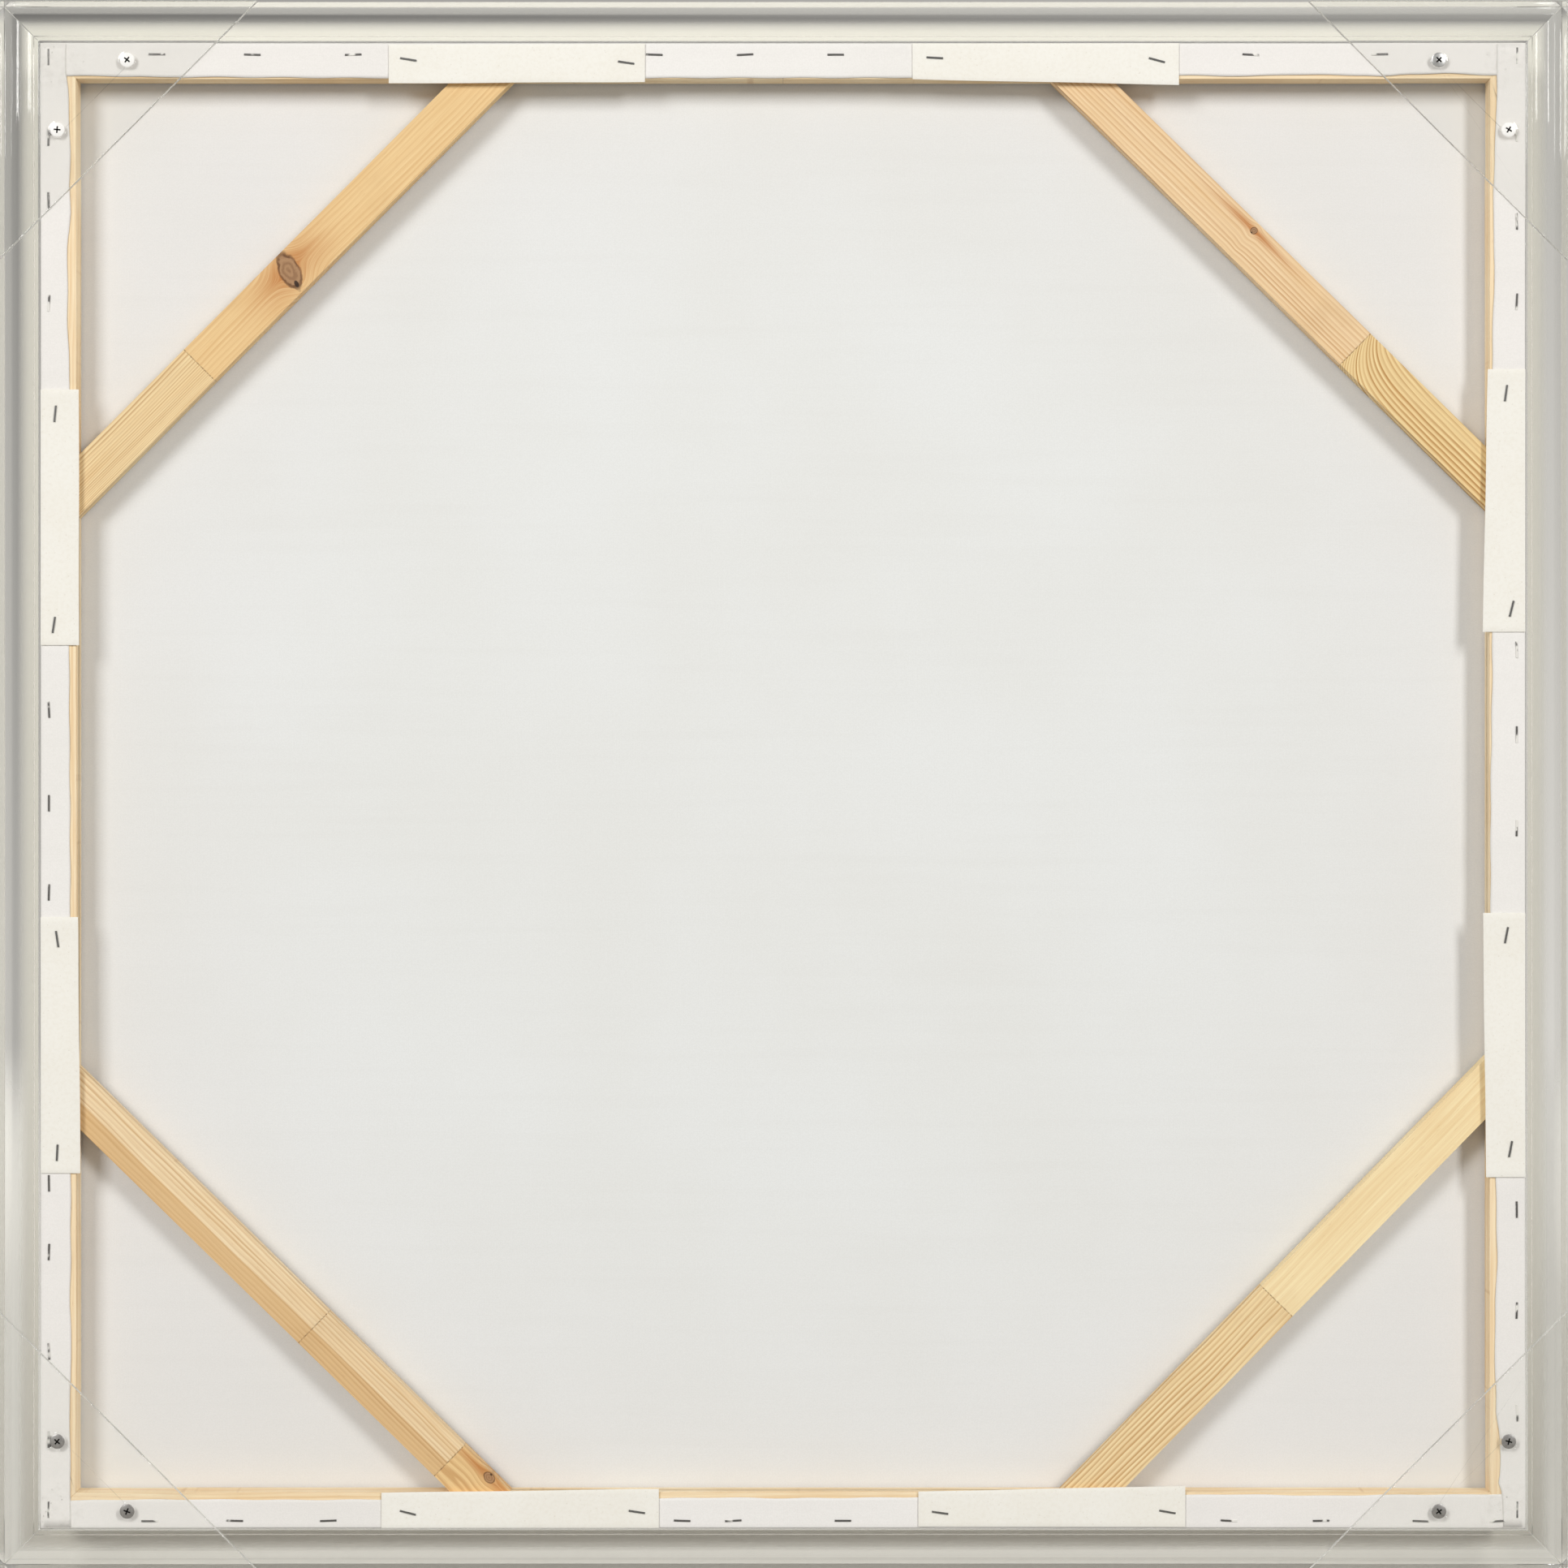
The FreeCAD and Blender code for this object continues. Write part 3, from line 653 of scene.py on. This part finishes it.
# Side, ends along it, outer edge at each end, inner edge at each end, staples along it; all in mm.
CARDS = {
    "top_left": ("top", (269.6, 94.4), (1.3, 0.6), (27.8, 26.8), (256.2, 107.2)),
    "top_right": ("top", (-88.6, -270.8), (0.4, 0.3), (25.0, 28.8), (-103.8, -255.7)),
    "left_upper": ("left", (270.9, 96.0), (0.3, 0.3), (26.5, 26.5), (254.3, 109.9)),
    "left_lower": ("left", (-89.9, -265.1), (0.3, 0.5), (25.8, 27.6), (-104.9, -251.0)),
    "right_upper": ("right", (284.8, 105.1), (0.3, 0.3), (26.0, 29.4), (268.4, 121.0)),
    "right_lower": ("right", (-87.1, -267.8), (0.3, 0.3), (29.3, 27.1), (-102.2, -248.5)),
    "bottom_left": ("bottom", (274.6, 84.9), (0.3, 0.3), (24.4, 27.0), (256.5, 99.9)),
    "bottom_right": ("bottom", (-92.6, -275.1), (1.3, 1.0), (25.2, 29.1), (-107.4, -262.9)),
}


def under_card(side, along):
    for card_side, (first, last), _, _, _ in CARDS.values():
        if card_side == side and last - 3 < along < first + 3:
            return True
    return False


def build_card(name, material):
    side, (first, last), outer, inner, staples = CARDS[name]
    dice = random.Random(name)
    mesh_maker = bmesh.new()
    thickness = 0.55
    lift = (dice.uniform(0.15, 0.45), dice.uniform(0.15, 0.45))
    lines = []
    count = 44
    for i in range(count + 1):
        share = i / count
        along = first + (last - first) * share
        out_edge = outer[0] + (outer[1] - outer[0]) * share
        in_edge = inner[0] + (inner[1] - inner[0]) * share
        wave = 0.12 * math.sin(share * 9 + lift[0] * 20)
        line = []
        for j in range(9):
            across = j / 8
            inset = out_edge + (in_edge + wave - out_edge) * across
            held = min(abs(along - staples[0]), abs(along - staples[1])) / 70
            bow = 0.35 * min(held, 1.0) ** 2 * math.sin(math.pi * across * 0.9)
            end = smooth(share, 0.09, 0.0) * lift[0] + smooth(share, 0.91, 1.0) * lift[1]
            line.append(mesh_maker.verts.new(on_side(side, along, inset, thickness + 0.12 + bow + end)))
        lines.append(line)
    for low, high in zip(lines, lines[1:]):
        for j in range(8):
            mesh_maker.faces.new((low[j], low[j + 1], high[j + 1], high[j]))
    bmesh.ops.recalc_face_normals(mesh_maker, faces=mesh_maker.faces)
    mesh_maker.faces.ensure_lookup_table()
    if mesh_maker.faces[0].normal.y < 0:
        bmesh.ops.reverse_faces(mesh_maker, faces=mesh_maker.faces)
    mesh = bpy.data.meshes.new("card_" + name)
    mesh_maker.to_mesh(mesh)
    mesh_maker.free()
    mesh.polygons.foreach_set("use_smooth", [True] * len(mesh.polygons))
    piece = add_object("card_" + name, mesh, [material], ["card_strip_" + name])
    skin = piece.modifiers.new("thickness", "SOLIDIFY")
    skin.thickness = thickness * MM
    skin.offset = -1.0
    soften = piece.modifiers.new("soft_edge", "BEVEL")
    soften.width = 0.12 * MM
    soften.segments = 2
    soften.angle_limit = math.radians(50)
    return piece


# ---------------------------------------------------------------------------------------------
# Plate screws
# ---------------------------------------------------------------------------------------------

HEAD_RADIUS = 5.0
SCREW_NEAR = 448.0
SCREW_FAR = 495.7
HEAD_TOP_UP = 4.2
# Turn of the cross in each of a corner's two heads, in degrees, and the finish of each.
SCREWS = {
    "top_left": ((38, "white"), (5, "white")),
    "top_right": ((45, "bright"), (32, "white")),
    "bottom_left": ((20, "dark"), (40, "dark")),
    "bottom_right": ((55, "dark"), (15, "dark")),
}
FINISHES = ("white", "bright", "dark")


def screw_profile():
    """A raised countersunk head and its shank: (radius, height above the head's rim) in mm."""
    dome = []
    for i in range(9):
        share = i / 8
        dome.append((HEAD_RADIUS * 0.97 * share, 0.55 * (1 - share * share)))
    rest = [(HEAD_RADIUS, -0.1), (HEAD_RADIUS, -0.35), (2.2, -3.1), (2.1, -4.0), (2.1, -13.0)]
    tip = [(0.9, -16.2), (0.0, -17.0)]
    return dome + rest + tip


def revolve(points, count):
    """A lathe-turned mesh about Y, heights along +Y, in metres."""
    maker = bmesh.new()
    rings = []
    for radius, height in points:
        if radius == 0.0:
            rings.append([maker.verts.new((0.0, height * MM, 0.0))])
            continue
        ring = []
        for i in range(count):
            angle = 2 * math.pi * i / count
            ring.append(
                maker.verts.new((radius * MM * math.cos(angle), height * MM, radius * MM * math.sin(angle)))
            )
        rings.append(ring)
    for first, second in zip(rings, rings[1:]):
        for i in range(count):
            j = (i + 1) % count
            near = (first[i % len(first)], first[j % len(first)])
            far = (second[j % len(second)], second[i % len(second)])
            maker.faces.new(list(dict.fromkeys(near + far)))
    bmesh.ops.recalc_face_normals(maker, faces=maker.faces)
    return maker


def cross_cutter():
    """The cross recess: two tapered blades crossing, wider at the mouth."""
    maker = bmesh.new()
    for turn in (0, 90):
        spin = Matrix.Rotation(math.radians(turn), 4, "Y")
        loops = []
        for up, half_length, half_width in ((1.2, 2.45, 0.50), (-0.2, 2.2, 0.45), (-2.0, 0.7, 0.26)):
            loop = []
            for sx, sz in ((-1, -1), (1, -1), (1, 1), (-1, 1)):
                spot = spin @ Vector((sx * half_length * MM, up * MM, sz * half_width * MM))
                loop.append(maker.verts.new(spot))
            loops.append(loop)
        for first, second in zip(loops, loops[1:]):
            for i in range(4):
                j = (i + 1) % 4
                maker.faces.new((first[i], first[j], second[j], second[i]))
        maker.faces.new(loops[0])
        maker.faces.new(loops[-1])
    bmesh.ops.recalc_face_normals(maker, faces=maker.faces)
    return maker


def cut_screw_mesh():
    """One screw's mesh with its cross recess cut."""
    blank_mesh = bpy.data.meshes.new("screw_blank")
    maker = revolve(screw_profile(), 48)
    maker.to_mesh(blank_mesh)
    maker.free()
    tool_mesh = bpy.data.meshes.new("screw_tool")
    maker = cross_cutter()
    maker.to_mesh(tool_mesh)
    maker.free()
    blank = bpy.data.objects.new("screw_blank", blank_mesh)
    tool = bpy.data.objects.new("screw_tool", tool_mesh)
    for piece in (blank, tool):
        bpy.context.scene.collection.objects.link(piece)
    cut = blank.modifiers.new("recess", "BOOLEAN")
    cut.operation = "DIFFERENCE"
    cut.solver = "EXACT"
    cut.use_self = True
    cut.object = tool
    graph = bpy.context.evaluated_depsgraph_get()
    made = bpy.data.meshes.new_from_object(blank.evaluated_get(graph))
    for piece in (blank, tool):
        bpy.data.objects.remove(piece)
    for face in made.polygons:
        middle = face.center / MM
        dome = 0.55 * (1 - (math.hypot(middle.x, middle.z) / HEAD_RADIUS) ** 2)
        inside = math.hypot(middle.x, middle.z) < 2.6 and -2.2 < middle.y < dome - 0.12
        face.material_index = 1 if inside else 0
    return made


def build_screws(finishes):
    template = cut_screw_mesh()
    maker = bmesh.new()
    for corner, heads in SCREWS.items():
        side_x, side_z = CORNERS[corner]
        places = ((side_x * SCREW_NEAR, side_z * SCREW_FAR), (side_x * SCREW_FAR, side_z * SCREW_NEAR))
        for (x, z), (turn, finish) in zip(places, heads):
            before = len(maker.verts)
            faces_before = len(maker.faces)
            maker.from_mesh(template)
            maker.verts.ensure_lookup_table()
            maker.faces.ensure_lookup_table()
            spot = Vector((x * MM, BACK_Y + HEAD_TOP_UP * MM - 0.0004, CENTRE_Z + z * MM))
            move = Matrix.Translation(spot) @ Matrix.Rotation(math.radians(-turn), 4, "Y")
            bmesh.ops.transform(maker, matrix=move, verts=maker.verts[before:])
            for face in maker.faces[faces_before:]:
                recess = face.material_index == 1
                face.material_index = len(FINISHES) if recess else FINISHES.index(finish)
                face.smooth = not recess
    mesh = bpy.data.meshes.new("corner_screws")
    maker.to_mesh(mesh)
    maker.free()
    piece = add_object("corner_screws", mesh, finishes, ["plate_screws"])
    soften = piece.modifiers.new("soft_edge", "BEVEL")
    soften.width = 0.10 * MM
    soften.segments = 2
    soften.angle_limit = math.radians(35)
    return piece


# ---------------------------------------------------------------------------------------------
# CAD pieces that are kept
# ---------------------------------------------------------------------------------------------

# Centre-line ends of each brace: mm from the centre along its top or bottom bar, then its side bar.
BRACES = {
    "top_left": (205.5, 204.5),
    "top_right": (204.4, 209.4),
    "bottom_left": (207.4, 212.8),
    "bottom_right": (210.9, 205.3),
}
BAR_INNER = 483.5


def dress(node, material, bevel, shrink=0.0):
    """Gives a CAD node its material and a small edge round; shrink draws its faces in, in mm."""
    piece = NODES[node]
    piece.data.materials.clear()
    piece.data.materials.append(material)
    weld = piece.modifiers.new("weld", "WELD")
    weld.merge_threshold = 0.000002
    if shrink:
        inward = piece.modifiers.new("hairline_gap", "DISPLACE")
        inward.direction = "NORMAL"
        inward.mid_level = 0.0
        inward.strength = -shrink * MM
    if bevel:
        soften = piece.modifiers.new("soft_edge", "BEVEL")
        soften.width = bevel * MM
        soften.segments = 2
        soften.limit_method = "ANGLE"
        soften.angle_limit = math.radians(40)
    even = piece.modifiers.new("even_normals", "WEIGHTED_NORMAL")
    even.keep_sharp = False
    even.weight = 90
    return piece


def brace_ends(corner):
    side_x, side_z = CORNERS[corner]
    on_bar, on_side_bar = BRACES[corner]
    return (side_x * on_bar, side_z * BAR_INNER), (side_x * BAR_INNER, side_z * on_side_bar)


def dress_wood():
    top, side = brace_ends("top_left")
    knot = [(207.5, 1.5, 7.0, 12.5, 0.22, 0.95)]
    lengths = [
        (0, pine(1.0, 1.7, 0.80, (247, 224, 176), (184, 138, 86), gather=-0.45)),
        (118.3, pine(2.0, 3.4, 0.40, (243, 212, 158), (204, 154, 96), knots=knot)),
    ]
    dress("corner_brace_top_left", board("pine_brace_top_left", side, top, lengths), 0.4)
    top, side = brace_ends("top_right")
    knot = [(156.7, 9.0, 2.4, 2.4, 0.0, 1.0)]
    sweep = (263.2, 26, 13)
    lengths = [
        (0, pine(3.0, 2.9, 0.75, (247, 220, 178), (196, 148, 98), knots=knot)),
        (263.2, pine(4.0, 3.3, 0.95, (248, 224, 168), (180, 130, 68), sweep=sweep, waver=0.6)),
    ]
    dress("corner_brace_top_right", board("pine_brace_top_right", top, side, lengths), 0.4)
    bottom, side = brace_ends("bottom_left")
    knot = [(384.4, -11.0, 4.5, 3.2, 0.0, 0.85)]
    strip = (1.5, srgb(222, 184, 130))
    lengths = [
        (0, pine(5.0, 3.0, 0.70, (250, 230, 192), (196, 152, 98), split=strip)),
        (226.5, pine(6.0, 2.6, 0.70, (248, 226, 186), (194, 150, 98), split=strip)),
        (356.8, pine(7.0, 4.2, 0.60, (244, 212, 156), (192, 140, 82), knots=knot, waver=2.2)),
    ]
    dress("corner_brace_bottom_left", board("pine_brace_bottom_left", side, bottom, lengths), 0.4)
    bottom, side = brace_ends("bottom_right")
    lengths = [
        (0, pine(8.0, 5.5, 0.30, (254, 236, 190), (232, 198, 142))),
        (207.3, pine(9.0, 3.2, 0.85, (253, 232, 184), (192, 144, 86), waver=1.3)),
    ]
    dress("corner_brace_bottom_right", board("pine_brace_bottom_right", side, bottom, lengths), 0.4)
    runs = {
        "top": ((-508, 495), (508, 495)),
        "bottom": ((-508, -495), (508, -495)),
        "left": ((495, -508), (495, 508)),
        "right": ((-495, -508), (-495, 508)),
    }
    for number, (name, (start, end)) in enumerate(runs.items()):
        lengths = [(0, pine(20.0 + number, 3.2, 0.42, (254, 237, 203), (222, 180, 126)))]
        if name == "top":
            lengths.append((508, pine(27.0, 3.0, 0.42, (252, 234, 198), (218, 176, 122))))
        dress("stretcher_bar_" + name, board("pine_bar_" + name, start, end, lengths), 0.4)


def dress_metal_and_acrylic():
    staple = steel_material("galvanised_staple", (0.16, 0.155, 0.15), 0.38, 0.25, srgb(232, 230, 224))
    dress("canvas_staples", staple, 0.08)
    bare = steel_material("galvanised_card_staple", (0.20, 0.20, 0.195), 0.30)
    dress("card_staples", bare, 0.08)
    dress("brace_brads", steel_material("brad_wire", (0.55, 0.55, 0.54), 0.35), 0.0)
    rail = acrylic_material("clear_acrylic", (0.975, 0.978, 0.965), 0.01, 0.0003)
    plate = acrylic_material("plate_acrylic", (0.992, 0.994, 0.99), 0.01, 0.0001, sawn=True)
    for side in SIDES:
        dress("frame_rail_" + side, rail, 0.3, 0.03)
    for corner in CORNERS:
        dress("corner_plate_" + corner, plate, 0.2, 0.04)


# ---------------------------------------------------------------------------------------------
# Stage, lights and camera
# ---------------------------------------------------------------------------------------------

FLOOR_REACH = 6.0
FLOOR_LEVEL = -0.0004
FLOOR_FADE = (1.2, 5.8)
# The backdrop's distance from the frame's front face, and where it fades, from the frame's outside.
BACKDROP_GAP = 0.018
BACKDROP_FADE = (-0.013, 0.004)
ROOM_COLOUR = (1.0, 0.97, 0.92, 1.0)
ROOM_LEVEL = 0.37
ROOM_LEAST = 0.03
# How the room brightens along each axis, and how much more it does so in front of the object.
ROOM_SLOPE = (-0.06, -0.08, -0.14)
FRONT_SLOPE = (0.27, 0.13, 0.58)
LAMP_COLOUR = (1.0, 0.992, 0.982)
BOUNCES = 24
SENSOR = 36.0
CAMERA_DISTANCE = 2.4
VIEW_WIDTH = 1.0726


def floor_material(name, base, rough):
    """A plain floor that fades out far from the object, so that it ends in no hard line."""
    g = Graph(name)
    x, y, z = g.position()
    soft = g.noise(g.vector(x, y, z), 6.0, 3.0)
    colour = g.mix(g.level(soft, 0.3, 0.7, 0.0, 0.06), base, tuple(c * 0.93 for c in base))
    paint = g.principled(Base_Color=colour, Roughness=rough, Specular_IOR_Level=0.2)
    away = g.math("SQRT", x * x + y * y, 0.0)
    both = g.node("MixShader")
    g.put(g.level(away, *FLOOR_FADE), both.inputs[0])
    g.put(paint, both.inputs[1])
    g.put(g.node("BsdfTransparent").outputs[0], both.inputs[2])
    return g.done(both.outputs[0])


def backdrop_material():
    """The pale backdrop, fading out past the frame, with painted shade darkening it towards the floor: seen
    from the object's side only, so that it hides nothing from the front."""
    g = Graph("pale_backdrop")
    x, y, z = g.position()
    soft = g.noise(g.vector(x, y, z), 6.0, 3.0)
    colour = g.mix(g.level(soft, 0.3, 0.7, 0.0, 0.06), srgb(232, 230, 221), srgb(227, 224, 214))
    beyond = g.math("MAXIMUM", abs(x) - CAD_HIGH.x, abs(z - CENTRE_Z) - CAD_HIGH.x)
    gone = g.level(beyond, *BACKDROP_FADE)
    # Painted shade: the backdrop darkens towards the floor, standing in for the frame's shadow cast on it.
    low = g.level(z, -0.05, 0.40, 0.60, 0.0)
    colour = g.mix(low, colour, srgb(168, 162, 152))
    paint = g.principled(Base_Color=colour, Roughness=0.9, Specular_IOR_Level=0.2)
    both = g.node("MixShader")
    g.put(g.math("MAXIMUM", g.node("NewGeometry").outputs["Backfacing"], gone), both.inputs[0])
    g.put(paint, both.inputs[1])
    g.put(g.node("BsdfTransparent").outputs[0], both.inputs[2])
    return g.done(both.outputs[0])


def flat_stage(name, corners, material):
    maker = bmesh.new()
    maker.faces.new([maker.verts.new(corner) for corner in corners])
    mesh = bpy.data.meshes.new(name)
    maker.to_mesh(mesh)
    maker.free()
    mesh.materials.append(material)
    piece = bpy.data.objects.new(name, mesh)
    bpy.context.scene.collection.objects.link(piece)
    return piece


def build_stage():
    """A pale floor, and a small pale backdrop beyond the frame's front, seen through its rails."""
    reach = FLOOR_REACH
    level = FLOOR_LEVEL
    corners = [(-reach, -reach, level), (reach, -reach, level), (reach, reach, level), (-reach, reach, level)]
    floor = flat_stage("floor", corners, floor_material("pale_floor", srgb(228, 226, 220), 0.9))
    floor.visible_diffuse = False
    behind = CAD_LOW.y - BACKDROP_GAP
    side = CAD_HIGH.x + BACKDROP_FADE[1]
    top = CAD_HIGH.z + BACKDROP_FADE[1]
    corners = [(side, behind, level), (-side, behind, level), (-side, behind, top), (side, behind, top)]
    wall = flat_stage("backdrop", corners, backdrop_material())
    wall.visible_diffuse = False
    wall.visible_shadow = False


def area_light(name, place, target, size, watts, colour):
    lamp = bpy.data.lights.new(name, "AREA")
    lamp.shape = "RECTANGLE"
    lamp.size = size[0]
    lamp.size_y = size[1]
    lamp.energy = watts
    lamp.color = colour
    piece = bpy.data.objects.new(name, lamp)
    piece.location = place
    aim = Vector(target) - Vector(place)
    piece.rotation_euler = aim.to_track_quat("-Z", "Y").to_euler()
    bpy.context.scene.collection.objects.link(piece)
    return piece


def build_lights():
    """Two softboxes above, right and left of the back, and one low light for the canvas front."""
    middle = (0.0, 0.0, CENTRE_Z)
    area_light("softbox_right", (-4.5, 6.0, 3.9), middle, (1.2, 3.2), 292.0, LAMP_COLOUR)
    area_light("softbox_left", (4.3, 6.0, 3.9), middle, (2.6, 3.2), 334.0, LAMP_COLOUR)
    front = area_light("front_softbox", (1.2, -4.5, 2.6), middle, (2.0, 2.0), 150.0, (1.0, 0.99, 0.97))
    front.visible_transmission = False
    front.visible_glossy = False
    cycles = bpy.context.scene.cycles
    cycles.max_bounces = BOUNCES
    cycles.transmission_bounces = BOUNCES
    cycles.glossy_bounces = BOUNCES
    cycles.transparent_max_bounces = BOUNCES


def build_world():
    """A room a little darker overhead and brighter to the right and below, more so in front."""
    world = bpy.data.worlds.new("studio")
    bpy.context.scene.world = world
    world.use_nodes = True
    tree = world.node_tree
    background = tree.nodes["Background"]
    background.inputs["Color"].default_value = ROOM_COLOUR
    look = tree.nodes.new("ShaderNodeTexCoord").outputs["Generated"]

    def slope(direction):
        made = tree.nodes.new("ShaderNodeVectorMath")
        made.operation = "DOT_PRODUCT"
        made.inputs[1].default_value = direction
        tree.links.new(look, made.inputs[0])
        return made.outputs["Value"]

    def combine(operation, first, second):
        made = tree.nodes.new("ShaderNodeMath")
        made.operation = operation
        for value, socket in zip((first, second), made.inputs):
            if isinstance(value, float):
                socket.default_value = value
            else:
                tree.links.new(value, socket)
        return made.outputs[0]

    forward = combine("MINIMUM", slope((0.0, 1.0, 0.0)), 0.0)
    in_front = combine("MULTIPLY", forward, slope(FRONT_SLOPE))
    total = combine("ADD", slope(ROOM_SLOPE), in_front)
    strength = combine("MAXIMUM", combine("ADD", total, ROOM_LEVEL), ROOM_LEAST)
    tree.links.new(strength, background.inputs["Strength"])


def build_camera():
    lens = bpy.data.cameras.new("camera")
    lens.sensor_width = SENSOR
    lens.lens = SENSOR * CAMERA_DISTANCE / VIEW_WIDTH
    camera = bpy.data.objects.new("camera", lens)
    camera.location = (-0.0007, BACK_Y + CAMERA_DISTANCE, 0.5371)
    camera.rotation_euler = (math.radians(90), 0.0, math.radians(180))
    bpy.context.scene.collection.objects.link(camera)
    bpy.context.scene.camera = camera
    bpy.context.scene.view_settings.view_transform = "Standard"


build_camera()
build_lights()
build_world()
build_stage()
build_cloth()
card = card_material()
for card_name in CARDS:
    build_card(card_name, card)
build_screws(
    [
        coated_material(),
        steel_material("zinc_bright", (0.62, 0.62, 0.61), 0.28),
        steel_material("zinc_dark", (0.36, 0.35, 0.34), 0.34),
        # Painted shade: a near-black finish inside the cross recesses, where shade falls.
        steel_material("recess_painted_shade", (0.035, 0.033, 0.03), 0.6),
    ]
)
dress_wood()
dress_metal_and_acrylic()
